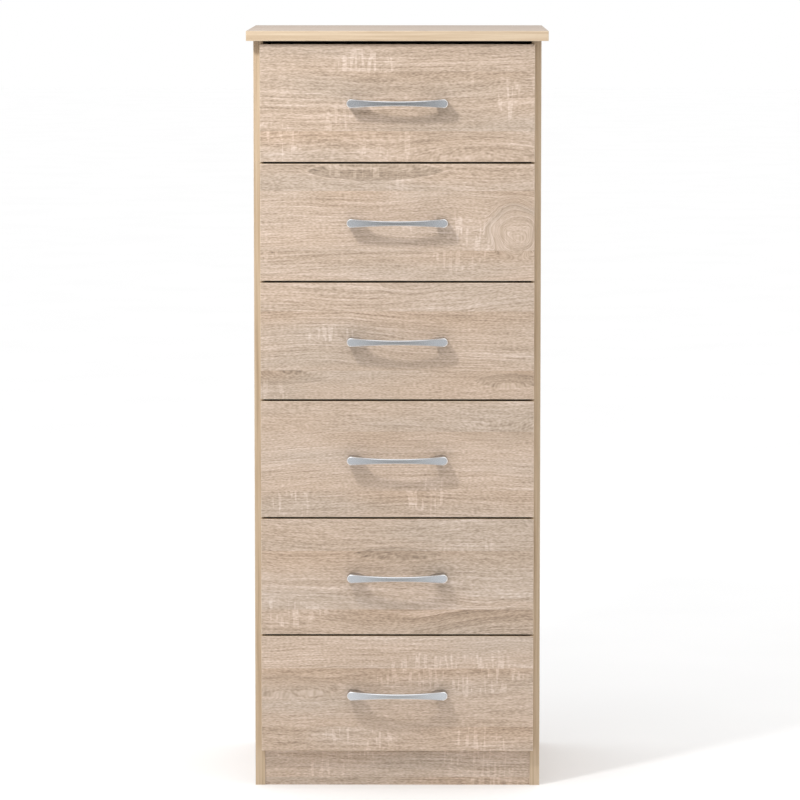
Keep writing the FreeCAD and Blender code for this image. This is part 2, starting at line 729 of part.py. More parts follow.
def pin_pattern(name):
    shank = rod(name + "Shank", "pin_diameter", "pin_length", "-pin_length")
    head = rod(name + "Head", "pin_head_diameter", "pin_head_height")
    return joined(name, [shank, head])


def runner_pattern(name, inner_face):
    """A runner strip with three screw seats in the face that looks into the chest."""
    runner = Board(name, (RUNNER_THICK, "runner_length", "runner_height"), ("0", "0", "0"))
    runner.round_edges(across_front, "runner_nose")
    screws = [(y, "runner_height / 2") for y in RUNNER_SCREWS]
    runner.drill(inner_face, screws, "screw_diameter", RUNNER_THICK, "ScrewHoles")
    runner.drill(inner_face, screws, "screw_head_diameter", "seat_depth", "ScrewSeats")
    return runner.body


# ---------------------------------------------------------------- repeated small pieces in their places

DIRECTIONS = {
    "+x": FreeCAD.Vector(1, 0, 0),
    "-x": FreeCAD.Vector(-1, 0, 0),
    "+y": FreeCAD.Vector(0, 1, 0),
    "-y": FreeCAD.Vector(0, -1, 0),
    "+z": FreeCAD.Vector(0, 0, 1),
    "-z": FreeCAD.Vector(0, 0, -1),
}


def turned(up, side=None):
    """The rotation that takes a pattern's +Z to one direction and its +X to another, if that matters."""
    z = DIRECTIONS[up]
    x = DIRECTIONS[side] if side else FreeCAD.Vector(z.y, z.z, z.x)
    return FreeCAD.Rotation(x, z.cross(x), z, "ZXY")


def make_group(label, pieces):
    """One sub-part of separate solids: each piece is a pattern, its place and its rotation."""
    links = []
    for pattern, at, rotation in pieces:
        link = doc.addObject("App::Link", label + "_piece")
        link.LinkedObject = pattern
        link.Placement = FreeCAD.Placement(FreeCAD.Vector(), rotation)
        place(link, at)
        links.append(link)
    group = doc.addObject("Part::Compound", label)
    group.Label = label
    group.Links = links
    doc.recompute()
    sub_parts.append(group)


def both_sides(distance):
    """The left and right places at a distance from the middle, with the outward and inward directions."""
    return [(f"-({distance})", "-x", "+x"), (f"({distance})", "+x", "-x")]


def behind_front(lines):
    return [f"{CARCASS_FRONT} + {line}" for line in lines]


def carcass_joints():
    """The cams, bolts and dowels that hold the carcass together, as three lists of places and rotations."""
    cams = []
    bolts = []
    dowels = []
    for x, outward, inward in both_sides("(body_width - panel_thick) / 2"):
        inner_face = x.replace("(body_width - panel_thick) / 2", f"{INNER_WIDTH} / 2")
        for y in behind_front(CAM_LINES):
            bolts.append(((x, y, SIDE_HEIGHT), turned("+z")))
            cams.append(((inner_face, y, f"{SIDE_HEIGHT} - cam_setback"), turned(inward, "+z")))
        dowels += [((x, y, SIDE_HEIGHT), turned("+z")) for y in behind_front(DOWEL_LINES)]
    for x, outward, inward in both_sides(f"{INNER_WIDTH} / 2"):
        cam_x = x.replace(f"{INNER_WIDTH} / 2", f"{INNER_WIDTH} / 2 - cam_setback")
        for y in behind_front(CAM_LINES):
            bolts.append(((x, y, BOTTOM_LEVEL), turned(outward)))
            cams.append(((cam_x, y, "plinth_height"), turned("-z", outward)))
        dowels += [((x, y, BOTTOM_LEVEL), turned(outward)) for y in behind_front(DOWEL_LINES)]
        faces = ((PLINTH_LINE, "+", "+y"), (RAIL_LINE, "-", "-y"))
        for line, sign, facing in faces:
            middle = f"{CARCASS_FRONT} + {line}"
            bolts.append(((x, middle, "plinth_cam_lift"), turned(outward)))
            dowels.append(((x, middle, "plinth_dowel_lift"), turned(outward)))
            cam_y = f"{middle} {sign} panel_thick / 2"
            cams.append(((cam_x, cam_y, "plinth_cam_lift"), turned(facing, outward)))
    return cams, bolts, dowels


def pin_places():
    """The heads of the panel pins on the rear faces of the back boards."""
    rear_face = f"{CARCASS_REAR} + back_thick"
    places = []
    for base in ("plinth_height", UPPER_BACK):
        for x, outward, inward in both_sides("(body_width - panel_thick) / 2"):
            places += [(x, rear_face, f"{base} + {pin_rise(i)}") for i in PINS_UP]
    places += [(f"{pin_run(i)} - {INNER_WIDTH} / 2", rear_face, BOTTOM_LEVEL) for i in PINS_ACROSS]
    return places


def make_runner_groups(screw):
    """The runners of each side as one sub-part, and the screws of them all as another."""
    screws = []
    sides = (
        ("left_runners", f"-{INNER_WIDTH} / 2", "right", "+x", "+"),
        ("right_runners", f"{INNER_WIDTH} / 2 - {RUNNER_THICK}", "left", "-x", "-"),
    )
    for label, x, inner_face, inward, sign in sides:
        pattern = runner_pattern(label + "_pattern", inner_face)
        runners = []
        seat = f"{sign}({RUNNER_THICK} - seat_depth) - {sign}{INNER_WIDTH} / 2"
        for n in DRAWERS:
            at = (x, f"{CARCASS_FRONT} + runner_setback", f"{runner_level(n)} - runner_height / 2")
            runners.append((pattern, at, FreeCAD.Rotation()))
            for y in RUNNER_SCREWS:
                hole = (seat, f"{CARCASS_FRONT} + runner_setback + {y}", runner_level(n))
                screws.append((screw, hole, turned(inward)))
        make_group(label, runners)
    make_group("runner_screws", screws)


def make_drawer_fasteners(n, cam, bolt, box_screw, handle_screw):
    pieces = []
    levels = [f"{box_level(n)} + {lift}" for lift in CAM_LIFTS]
    for x, outward, inward in both_sides(f"{BOX_INNER} / 2"):
        cam_y = f"{CARCASS_FRONT} + cam_setback"
        pieces += [(cam, (x, cam_y, z), turned(inward, "-y")) for z in levels]
    for x, outward, inward in both_sides(f"({BOX_WIDTH} - box_board) / 2"):
        pieces += [(bolt, (x, CARCASS_FRONT, z), turned("-y")) for z in levels]
    for x, outward, inward in both_sides(f"{BOX_WIDTH} / 2 - seat_depth"):
        y = f"{CARCASS_FRONT} + {BOX_BACK_MIDDLE}"
        pieces += [(box_screw, (x, y, f"{box_level(n)} + {lift}"), turned(outward)) for lift in SCREW_LIFTS]
    for x, outward, inward in both_sides("handle_centres / 2"):
        at = (x, CARCASS_FRONT, f"{front_level(n)} + front_height / 2")
        pieces.append((handle_screw, at, turned("+y")))
    make_group(f"drawer_{n}_fasteners", pieces)


def make_small_pieces():
    screw = ("screw_head_diameter", "screw_head_height")
    runner_screw = screw_pattern("RunnerScrew", "screw_diameter", "runner_screw_length", *screw)
    box_screw = screw_pattern("BoxScrew", "screw_diameter", "box_screw_length", *screw)
    handle_head = ("handle_screw_head", "handle_screw_head_height")
    handle_screw = screw_pattern("HandleScrew", "handle_screw_diameter", "handle_screw_length", *handle_head)
    cam = cam_pattern("Cam", "cam_height", "panel_thick")
    box_cam = cam_pattern("BoxCam", "box_cam_height", "box_board")
    bolt = bolt_pattern("CamBolt")
    dowel = dowel_pattern("Dowel")
    pin = pin_pattern("PanelPin")
    doc.recompute()
    cams, bolts, dowels = carcass_joints()
    for label, pattern, places in (
        ("cam_locks", cam, cams),
        ("cam_bolts", bolt, bolts),
        ("wooden_dowels", dowel, dowels),
    ):
        make_group(label, [(pattern, at, rotation) for at, rotation in places])
    make_group("panel_pins", [(pin, at, turned("+y")) for at in pin_places()])
    make_runner_groups(runner_screw)
    for n in DRAWERS:
        make_drawer_fasteners(n, box_cam, bolt, box_screw, handle_screw)


# ---------------------------------------------------------------- the whole chest


def check():
    for thing in doc.Objects:
        if {"Invalid", "Error"} & set(thing.State):
            raise RuntimeError(f"{thing.Label}: {thing.State}")
    for thing in sub_parts:
        if thing.Shape.isNull() or not thing.Shape.isValid():
            raise RuntimeError(f"{thing.Label}: its shape is not valid")


make_top()
make_side("left_side_panel", "-body_width / 2", "right")
make_side("right_side_panel", "body_width / 2 - panel_thick", "left")
make_bottom()
make_kickboard("plinth_panel", PLINTH_LINE, "rear")
make_kickboard("rear_rail", RAIL_LINE, "front")
make_back_board("back_board_lower", "plinth_height")
make_back_board("back_board_upper", UPPER_BACK)
make_joining_strip()
for drawer in DRAWERS:
    make_drawer(drawer)
make_small_pieces()
doc.recompute()
check()
os.makedirs("parts", exist_ok=True)
for sub_part in sub_parts:
    sub_part.Shape.exportStep(f"parts/{sub_part.Label}.step")
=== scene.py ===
import json

import bpy
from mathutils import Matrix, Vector

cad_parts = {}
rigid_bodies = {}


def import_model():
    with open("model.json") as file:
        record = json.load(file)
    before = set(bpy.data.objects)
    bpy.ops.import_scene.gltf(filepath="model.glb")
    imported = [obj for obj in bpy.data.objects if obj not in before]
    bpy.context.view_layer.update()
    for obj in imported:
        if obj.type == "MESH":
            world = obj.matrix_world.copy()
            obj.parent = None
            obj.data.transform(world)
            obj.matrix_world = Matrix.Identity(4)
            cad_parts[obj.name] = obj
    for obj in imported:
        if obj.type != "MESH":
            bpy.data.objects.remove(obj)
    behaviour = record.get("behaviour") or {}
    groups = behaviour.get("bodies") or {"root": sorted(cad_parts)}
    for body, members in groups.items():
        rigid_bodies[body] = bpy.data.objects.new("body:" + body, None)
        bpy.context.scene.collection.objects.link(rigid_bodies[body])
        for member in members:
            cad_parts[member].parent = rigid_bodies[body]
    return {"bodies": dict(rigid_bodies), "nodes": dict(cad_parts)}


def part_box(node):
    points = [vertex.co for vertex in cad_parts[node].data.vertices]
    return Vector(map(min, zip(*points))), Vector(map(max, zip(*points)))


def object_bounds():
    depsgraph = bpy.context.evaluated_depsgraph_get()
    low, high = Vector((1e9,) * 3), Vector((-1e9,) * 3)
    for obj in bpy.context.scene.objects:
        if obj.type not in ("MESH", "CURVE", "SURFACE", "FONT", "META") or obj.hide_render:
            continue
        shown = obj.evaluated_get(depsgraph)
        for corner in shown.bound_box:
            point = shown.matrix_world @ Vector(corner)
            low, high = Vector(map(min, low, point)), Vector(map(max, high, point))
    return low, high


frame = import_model()
cad_low, cad_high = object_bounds()

DRAWERS = [name for name in sorted(frame["bodies"]) if name.startswith("drawer_")]
FRONT_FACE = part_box("drawer_1_front")[0].y
DRAWER_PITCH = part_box("drawer_1_front")[0].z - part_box("drawer_2_front")[0].z

# The decor shows planks, two to a drawer front, with a seam half a plank under the top of the first.
PLANK = DRAWER_PITCH / 2
PLANK_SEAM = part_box("drawer_1_front")[1].z - PLANK / 2

# The axes of a board, as indexes of its place and of its facing.
X, Y, Z = 0, 1, 2

# A normal component above this means that the surface faces that way and isn't a rounded edge.
SQUARE = 0.7

# Places are in metres from the part's origin, which is on the floor under the middle of the chest.
CAMERA_PLACE = (0.039, -7.0, 1.292)
CAMERA_TARGET = (0.004, FRONT_FACE, 0.588)
CAMERA_LENS = 205.8
KEY_TARGET = (0, FRONT_FACE, 0.95)
KEY_DIRECTION = (-0.72, -1.05, 1.02)
KEY_DISTANCE = 1.63
KEY_SIZE = 0.17
KEY_POWER = 16.0
FLOOR_HALF_WIDTH = 30.0

# Colours are linear. The face of the top is a mix of its decor and the first of these, a painted shade
# and sheen: darker, greyer and flatter, for a top that takes more light from above and shows a sheen
# that washes out its grain. The second is a painted highlight and wear on the rounded board edges.
SHADE_AND_SHEEN_OAK = (0.39, 0.335, 0.29)
EDGE_HIGHLIGHT_AND_WEAR = (0.70, 0.60, 0.47)
CHIP_ROUGHNESS = 0.85

# The growth rings of the decor are this close where its grain is straight.
RINGS_PER_METRE = 48.0

# What stands out in the grain of each drawer front: its eyes, and its patches of saw marks.
# An eye is (along, up, half length, half height, pull in mm, shade), and a patch the first four of
# these, in hundredths of the front's width and height.
FIGURES = {
    "drawer_1": (
        [(80, 12, 30, 14, -8, 0.1)],
        [(8, 17, 10, 18), (40, 84, 10, 12), (90, 52, 4, 20)],
    ),
    "drawer_2": (
        [(42, 94, 25, 9, 10, 1.0), (93, 46, 11, 24, -70, 0.1)],
        [(40, 95, 16, 7), (77, 42, 15, 14)],
    ),
    "drawer_3": (
        [(8, 19, 17, 7, 8, 0.5), (55, 100, 12, 12, 9, 0.1), (92, 16, 14, 7, -9, 0.5)],
        [(26, 55, 8, 8)],
    ),
    "drawer_4": (
        [(88, 74, 20, 9, 9, 0.2)],
        [(12, 10, 8, 12), (62, 16, 7, 18)],
    ),
    "drawer_5": (
        [(94, 4, 40, 22, -24, 0.3), (50, 70, 17, 6, -6, 0.6)],
        [(11, 18, 13, 14)],
    ),
    "drawer_6": (
        [(10, 56, 20, 10, -14, 0.3)],
        [(72, 68, 30, 18), (38, 11, 17, 10), (81, 10, 11, 10)],
    ),
}


# ---------------------------------------------------------------- node helpers


class Field:
    """A number that varies over a surface. Arithmetic on it adds Math nodes."""

    def __init__(self, tree, socket):
        self.tree = tree
        self.socket = socket

    def math(self, operation, *others, clamp=False):
        node = self.tree.nodes.new("ShaderNodeMath")
        node.operation = operation
        node.use_clamp = clamp
        for slot, value in zip(node.inputs, (self,) + others):
            feed(self.tree, slot, value)
        return Field(self.tree, node.outputs[0])

    def __add__(self, other):
        return self.math("ADD", other)

    def __sub__(self, other):
        return self.math("SUBTRACT", other)

    def __mul__(self, other):
        return self.math("MULTIPLY", other)

    def __truediv__(self, other):
        return self.math("DIVIDE", other)

    def above(self, limit):
        return self.math("GREATER_THAN", limit)

    def clamped(self):
        return self.math("ADD", 0.0, clamp=True)

    def rise(self, low, high):
        """0 below low, 1 above high, and a smooth step between them. high may be the lower one."""
        node = self.tree.nodes.new("ShaderNodeMapRange")
        node.interpolation_type = "SMOOTHSTEP"
        falls = low > high
        values = (self, min(low, high), max(low, high), float(falls), float(not falls))
        for slot, value in zip(node.inputs, values):
            feed(self.tree, slot, value)
        return Field(self.tree, node.outputs[0])

    def pick(self, no, yes):
        """A plain mix of two fields or numbers by this one."""
        node = self.tree.nodes.new("ShaderNodeMix")
        node.data_type = "FLOAT"
        for slot, value in zip(node.inputs, (self, None, no, yes)):
            if value is not None:
                feed(self.tree, slot, value)
        return Field(self.tree, node.outputs[0])


def feed(tree, slot, value):
    """Links a field or socket to an input, or sets a plain value."""
    if isinstance(value, Field):
        value = value.socket
    if isinstance(value, bpy.types.NodeSocket):
        tree.links.new(value, slot)
    else:
        slot.default_value = value


class Look:
    """One material, with short calls for the nodes that it needs."""

    def __init__(self, name):
        self.material = bpy.data.materials.new(name)
        self.material.use_nodes = True
        self.tree = self.material.node_tree
        self.shader = self.tree.nodes["Principled BSDF"]
        coordinates = self.tree.nodes.new("ShaderNodeTexCoord")
        self.place = self.split(coordinates.outputs["Object"])
        self.facing = self.split(coordinates.outputs["Normal"])

    def field(self, socket):
        return Field(self.tree, socket)

    def split(self, vector):
        node = self.tree.nodes.new("ShaderNodeSeparateXYZ")
        feed(self.tree, node.inputs[0], vector)
        return [self.field(output) for output in node.outputs]

    def join(self, x, y, z):
        node = self.tree.nodes.new("ShaderNodeCombineXYZ")
        for slot, value in zip(node.inputs, (x, y, z)):
            feed(self.tree, slot, value)
        return node.outputs[0]

    def noise(self, x, y, z=0.0, detail=2.0, roughness=0.5):
        """Soft noise of about 0.2 to 0.8 over three coordinates that are already in periods."""
        node = self.tree.nodes.new("ShaderNodeTexNoise")
        feed(self.tree, node.inputs["Vector"], self.join(x, y, z))
        node.inputs["Scale"].default_value = 1.0
        node.inputs["Detail"].default_value = detail
        node.inputs["Roughness"].default_value = roughness
        return self.field(node.outputs[0])

    def chance(self, x, y):
        """Three random numbers that stay the same for one pair of whole numbers."""
        node = self.tree.nodes.new("ShaderNodeTexWhiteNoise")
        node.noise_dimensions = "2D"
        feed(self.tree, node.inputs["Vector"], self.join(x, y, 0.0))
        return self.split(node.outputs["Color"])

    def board_number(self):
        node = self.tree.nodes.new("ShaderNodeObjectInfo")
        return self.field(node.outputs["Object Index"])

    def ramp(self, factor, stops):
        """A colour from a field, by stops of (position, (r, g, b))."""
        node = self.tree.nodes.new("ShaderNodeValToRGB")
        feed(self.tree, node.inputs[0], factor)
        elements = node.color_ramp.elements
        while len(elements) < len(stops):
            elements.new(1.0)
        for element, (position, colour) in zip(elements, stops):
            element.position = position
            element.color = (*colour, 1.0)
        return node.outputs[0]

    def blend(self, factor, first, second, mode="MIX"):
        """A mix of two colours."""
        node = self.tree.nodes.new("ShaderNodeMix")
        node.data_type = "RGBA"
        node.blend_type = mode
        feed(self.tree, node.inputs[0], factor)
        for slot, value in ((node.inputs[6], first), (node.inputs[7], second)):
            feed(self.tree, slot, (*value, 1.0) if isinstance(value, tuple) else value)
        return node.outputs[2]

    def finish(self, colour, roughness, relief=None, depth=0.0001, **fixed):
        """Connects the shader. Fixed values go on the shader's own inputs, with _ for a space."""
        feed(self.tree, self.shader.inputs["Base Color"], colour)
        feed(self.tree, self.shader.inputs["Roughness"], roughness)
        for key, value in fixed.items():
            self.shader.inputs[key.replace("_", " ")].default_value = value
        if relief is not None:
            bump = self.tree.nodes.new("ShaderNodeBump")
            bump.inputs["Distance"].default_value = depth
            feed(self.tree, bump.inputs["Height"], relief)
            feed(self.tree, self.shader.inputs["Normal"], bump.outputs[0])
        return self.material


# ---------------------------------------------------------------- oak decor, edge band and raw board


def plank_of(look, along, across, board):
    """The height in its plank, place along the tree, layer of the noise and shade of a point."""
    lane = (across - PLANK_SEAM) / PLANK + board.math("SINE") * 0.05
    luck = look.chance(lane.math("FLOOR"), board)
    run = along + luck[0] * 7.0
    layer = luck[1] * 9.0 + board * 3.1
    return lane.math("FRACT"), run, layer, luck[2] - 0.5


def grain_level(look, along, across, run, layer, eyes):
    """The level, which is constant along a line of the grain, and four fields that go with it.

    They are a fine ripple, how clear the growth rings are, the inside of the eyes and the pale
    line round them.
    """
    wander = look.noise(run * 2.4, across * 4.5, layer, detail=1.0) - 0.5
    ripple = look.noise(run * 17.0, across * 30.0, layer + 1.0, detail=1.0) - 0.5
    level = across + wander * 0.060 + ripple * 0.0045
    figured = look.noise(run * 3.4, level * 13.0, layer + 4.0, detail=1.0).rise(0.45, 0.62)
    inside = 0.0
    outline = 0.0
    for centre, middle, half_length, half_height, pull, shade in eyes:
        reach = eye(along, across, centre, middle, half_length, half_height) + ripple * 0.5
        level = level + reach.rise(1.3, 0.0) * pull
        figured = figured.math("MAXIMUM", reach.rise(1.6, 0.9) * (1.0 + abs(pull) * 18.0))
        inside = reach.rise(1.0, 0.9) * shade + inside
        outline = reach.rise(0.9, 1.0) * reach.rise(1.25, 1.05) * shade + outline
    return level, ripple, figured, inside, outline


def growth_rings(look, run, level, layer):
    """The pale early wood and the dark late wood of each growth ring."""
    bands = look.noise(run * 1.4, level * 7.0, layer + 2.0, detail=1.0)
    ring = (level * RINGS_PER_METRE + bands * 3.0).math("FRACT")
    return ring.rise(0.22, 0.0), ring.rise(0.30, 0.96) * ring.rise(1.0, 0.97)


def saw_marks(look, along, across, run, level, layer, ripple, sawn):
    """Short pale cuts across the grain and strokes along it, in chance patches and the sawn ones."""
    patch = look.noise(run * 6.0, across * 9.0, layer + 9.0, detail=1.0).rise(0.66, 0.70) * 0.7
    for centre, middle, half_length, half_height in sawn:
        frayed = oval(along, across, centre, middle, half_length, half_height) + ripple * 1.6
        patch = patch.math("MAXIMUM", frayed.rise(1.1, 0.8))
    cuts = look.noise(run * 210.0, across * 24.0, layer, detail=0.0).rise(0.56, 0.64)
    strokes = look.noise(run * 18.0, level * 230.0, layer, detail=0.0).rise(0.57, 0.65)
    return patch * (cuts + strokes * 0.6).clamped()


def oak_decor(look, along, across, board, eyes=(), sawn=()):
    """Colour, roughness and relief of decor paper that shows planks of sawn oak.

    An eye is (along, across, half length, half height, pull, shade): it bends the grain round
    itself and darkens it inside. A sawn patch is (along, across, half length, half height).
    """
    height, run, layer, plank_shade = plank_of(look, along, across, board)
    level, ripple, figured, inside, outline = grain_level(look, along, across, run, layer, eyes)
    early, late = growth_rings(look, run, level, layer)
    saw = saw_marks(look, along, across, run, level, layer, ripple, sawn)

    def fibres(periods_along, periods_across, shift=0.0, detail=0.0):
        """Noise drawn out along the grain, in periods per metre. Each shift gives another pattern."""
        return look.noise(run * periods_along, level * periods_across, layer + shift, detail=detail)

    zone = fibres(2.6, 14.0, 3.0, detail=1.0)
    cloud = fibres(1.8, 26.0, 8.0, detail=1.0) - 0.5
    long_line = fibres(3.0, 400.0, 5.0).rise(0.42, 0.58) - 0.5
    pale_line = fibres(5.0, 330.0, 7.0).rise(0.60, 0.66)
    dash = fibres(24.0, 580.0).rise(0.42, 0.58) - 0.5
    dark_dash = fibres(14.0, 400.0, 6.0).rise(0.62, 0.69)
    speck = fibres(210.0, 760.0) - 0.5
    seam = height.rise(0.55, 0.97) * look.noise(run * 4.0, layer, detail=1.0).rise(0.36, 0.60)

    # What each feature adds to a mean tone that is a little above the middle of the ramp.
    weights = [
        (long_line * zone.rise(0.35, 0.60), 0.15),
        (pale_line * zone.rise(0.35, 0.55), 0.13),
        (dash, 0.125),
        (dark_dash, -0.09),
        (speck, 0.78),
        (saw, 0.25),
        (figured * early, 0.06),
        (figured * late, -0.07),
        (seam, -0.12),
        (inside, -0.18),
        (outline, 0.16),
        (plank_shade, 0.12),
    ]
    tone = cloud * 0.12 + 0.575
    for feature, weight in weights:
        tone = tone + feature * weight
    colour = look.ramp(
        tone.clamped(),
        [
            (0.0, (0.230, 0.172, 0.126)),
            (0.3, (0.385, 0.293, 0.219)),
            (0.58, (0.510, 0.399, 0.310)),
            (0.8, (0.598, 0.476, 0.392)),
            (1.0, (0.705, 0.586, 0.502)),
        ],
    )
    blush = fibres(3.0, 17.0, 6.0, detail=1.0)
    grey = (blush.rise(0.48, 0.34) + inside).clamped()
    tints = [
        (blush.rise(0.42, 0.64), (1.01, 0.99, 0.97)),
        (grey, (0.965, 0.985, 1.0)),
        (seam, (1.01, 0.98, 0.95)),
    ]
    for amount, tint in tints:
        colour = look.blend(amount, colour, tint, "MULTIPLY")
    relief = dash * 0.6 + saw * 0.4 - dark_dash * 0.8 - late * figured * 0.3
    return colour, dash * 0.06 + 0.5, relief


def oval(along, across, centre, middle, half_length, half_height):
    """0 at the centre of an oval and 1 at its edge."""
    x = (along - centre) / half_length
    y = (across - middle) / half_height
    return (x * x + y * y).math("SQRT")


def eye(along, across, centre, middle, half_length, half_height):
    """0 at the centre of a shape with pointed ends and 1 at its edge."""
    x = (along - centre) / half_length
    y = ((across - middle) / half_height).math("ABSOLUTE")
    return x * x + y.math("POWER", 1.3)


def edge_band(look, along, across):
    """Yellower oak band, with straight streaks along the edge."""
    streak = look.noise(along * 6.0, across * 330.0, 3.0, detail=2.0, roughness=0.6) - 0.5
    drift = look.noise(along * 5.0, across * 130.0, 5.0, detail=1.0) - 0.5
    tone = streak * 1.2 + drift * 0.8 + 0.57
    colour = look.ramp(
        tone.clamped(),
        [
            (0.0, (0.350, 0.248, 0.154)),
            (0.5, (0.522, 0.398, 0.272)),
            (1.0, (0.650, 0.524, 0.380)),
        ],
    )
    return colour, streak


def raw_board(look):
    """Chipboard where a board is cut and left without a band."""
    x, y, z = look.place
    chip = look.tree.nodes.new("ShaderNodeTexVoronoi")
    feed(look.tree, chip.inputs["Vector"], look.join(x * 260.0, y * 260.0, z * 420.0))
    chip.inputs["Scale"].default_value = 1.0
    grey = look.split(chip.outputs["Color"])[0]
    colour = look.ramp(
        grey,
        [
            (0.0, (0.200, 0.130, 0.075)),
            (0.45, (0.380, 0.270, 0.165)),
            (1.0, (0.560, 0.430, 0.290)),
        ],
    )
    return colour, grey


def edge_highlight_and_wear(look, grain, width, board):
    """How far the rounded edges of a board are painted pale, in patches: a painted highlight where the
    roundings catch the light, and wear along the edges.
    """
    squareness = look.facing[X].math("ABSOLUTE")
    for component in (look.facing[Y], look.facing[Z]):
        squareness = squareness.math("MAXIMUM", component.math("ABSOLUTE"))
    pale_patches = look.noise(look.place[grain] * 30.0, look.place[width] * 30.0, board, detail=2.0)
    return squareness.rise(0.985, 0.90) * pale_patches.rise(0.30, 0.60) * 0.7


def raw_faces(look, raw_rear, raw_under):
    """1 on the faces of a board that are left without a band, or None if it has no such face."""
    faces = []
    if raw_rear:
        faces.append(look.facing[Y].above(SQUARE))
    if raw_under:
        faces.append((look.facing[Z] * -1.0).above(SQUARE))
    if not faces:
        return None
    raw = faces[0]
    for face in faces[1:]:
        raw = raw.math("MAXIMUM", face)
    return raw


def oak_material(
    name, grain, width, thickness, raw_rear=False, raw_under=False, eyes=(), sawn=(), shade_and_sheen=0.0
):
    """Oak-faced board with banded edges.

    grain, width and thickness are the board's axes. shade_and_sheen, from 0 to 1, is how near the
    face is painted to SHADE_AND_SHEEN_OAK, a painted shade and sheen. eyes and sawn are those of
    oak_decor.
    """
    look = Look(name)
    board = look.board_number()
    colour, roughness, relief = oak_decor(look, look.place[grain], look.place[width], board, eyes, sawn)
    # Painted shade and sheen: the face is mixed toward a darker, greyer, flat tone that stands in for how
    # light falls on it.
    if shade_and_sheen:
        colour = look.blend(shade_and_sheen, colour, SHADE_AND_SHEEN_OAK)
    on_face = look.facing[thickness].math("ABSOLUTE").above(SQUARE)
    on_grain_end = look.facing[grain].math("ABSOLUTE").above(SQUARE)
    band_run = on_grain_end.pick(look.place[grain], look.place[width])
    band, streak = edge_band(look, band_run + board * 0.3, look.place[thickness])
    colour = look.blend(on_face, band, colour)
    relief = on_face.pick(streak * 0.5, relief)
    # Painted highlight and wear: the rounded edges of the board are painted paler in patches.
    colour = look.blend(edge_highlight_and_wear(look, grain, width, board), colour, EDGE_HIGHLIGHT_AND_WEAR)
    raw = raw_faces(look, raw_rear, raw_under)
    if raw is not None:
        chips, grey = raw_board(look)
        colour = look.blend(raw, colour, chips)
        roughness = raw.pick(roughness, CHIP_ROUGHNESS)
        relief = raw.pick(relief, grey)
    return look.finish(colour, roughness, relief, 0.00012, Specular_IOR_Level=0.35)


def front_material(drawer):
    """The oak of one drawer front, with its own figures."""
    low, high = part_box(drawer + "_front")
    width = (high.x - low.x) / 100
    height = (high.z - low.z) / 100
    eyes, sawn = FIGURES[drawer]
    eyes = [
        (low.x + u * width, low.z + v * height, a * width, b * height, pull / 1000, shade)
        for u, v, a, b, pull, shade in eyes
    ]
    sawn = [(low.x + u * width, low.z + v * height, a * width, b * height) for u, v, a, b in sawn]
    return oak_material("oak_" + drawer, X, Z, Y, eyes=eyes, sawn=sawn)


# ---------------------------------------------------------------- other materials


def foil_material():
    """Off-white foil on the boards of the drawer boxes, raw board at their rear and lower edges."""
    look = Look("drawer_box_foil")
    x, y, z = look.place
    pebble = look.noise(x * 900.0, y * 900.0, z * 900.0, detail=1.0)
    mottle = look.noise(x * 22.0, y * 9.0, z * 30.0, detail=3.0)
    colour = look.ramp(mottle, [(0.3, (0.700, 0.685, 0.650)), (0.7, (0.780, 0.768, 0.735))])
    raw = raw_faces(look, raw_rear=True, raw_under=True)
    chips, grey = raw_board(look)
    colour = look.blend(raw, colour, chips)
    roughness = raw.pick(pebble * 0.15 + 0.4, CHIP_ROUGHNESS)
    return look.finish(colour, roughness, raw.pick(pebble * 0.4, grey), 0.00008)


def hardboard_material(name, pale_axis, pale_sign):
    """Brown hardboard. Its lacquered face looks along the pale axis, up it or down it by the sign."""
    look = Look(name)
    x, y, z = look.place
    fibres = look.noise(x * 420.0, y * 420.0, z * 420.0, detail=3.0, roughness=0.65)
    blotch = look.noise(x * 14.0, y * 14.0, z * 14.0, detail=3.0)
    tone = fibres * 0.92 + blotch * 0.08
    brown = look.ramp(tone, [(0.3, (0.210, 0.122, 0.064)), (0.7, (0.420, 0.270, 0.155))])
    pale = look.ramp(blotch, [(0.3, (0.690, 0.675, 0.640)), (0.7, (0.770, 0.757, 0.725))])
    lacquered = (look.facing[pale_axis] * pale_sign).above(0.5)
    colour = look.blend(lacquered, brown, pale)
    roughness = lacquered.pick(fibres * 0.3 + 0.55, 0.38)
    return look.finish(colour, roughness, lacquered.pick(fibres, fibres * 0.15), 0.0002)


def handle_material():
    """Satin nickel on a casting, with fine polishing lines along the bow.

    The rounded rim and the bow's curved ends are painted brighter than its flat middle, a painted
    reflection.
    """
    look = Look("satin_nickel")
    x, y, z = look.place
    lines = look.noise(x * 60.0, y * 2600.0, z * 2600.0, detail=2.0)
    smudge = look.noise(x * 55.0, y * 90.0, z * 90.0, detail=3.0)
    forward = look.facing[Y].math("ABSOLUTE")
    not_edgewise = forward.rise(0.25, 0.50)
    # Painted reflection: where the surface turns away from facing forward, on the rim and at the curved
    # ends, the colour is painted brighter.
    rim = forward.rise(0.97, 0.80) * not_edgewise
    ends = look.facing[X].math("ABSOLUTE").rise(0.01, 0.19) * not_edgewise
    tone = rim * 0.66 + ends * 0.27 + (smudge - 0.5) * 0.12 + (lines - 0.5) * 0.06 + 0.05
    colour = look.ramp(
        tone.clamped(),
        [
            (0.0, (0.320, 0.328, 0.330)),
            (0.45, (0.590, 0.613, 0.650)),
            (1.0, (0.930, 0.940, 0.955)),
        ],
    )
    roughness = lines * 0.06 + smudge * 0.08 + rim * 0.14 + 0.14
    return look.finish(colour, roughness, lines, 0.00001, Metallic=1.0)


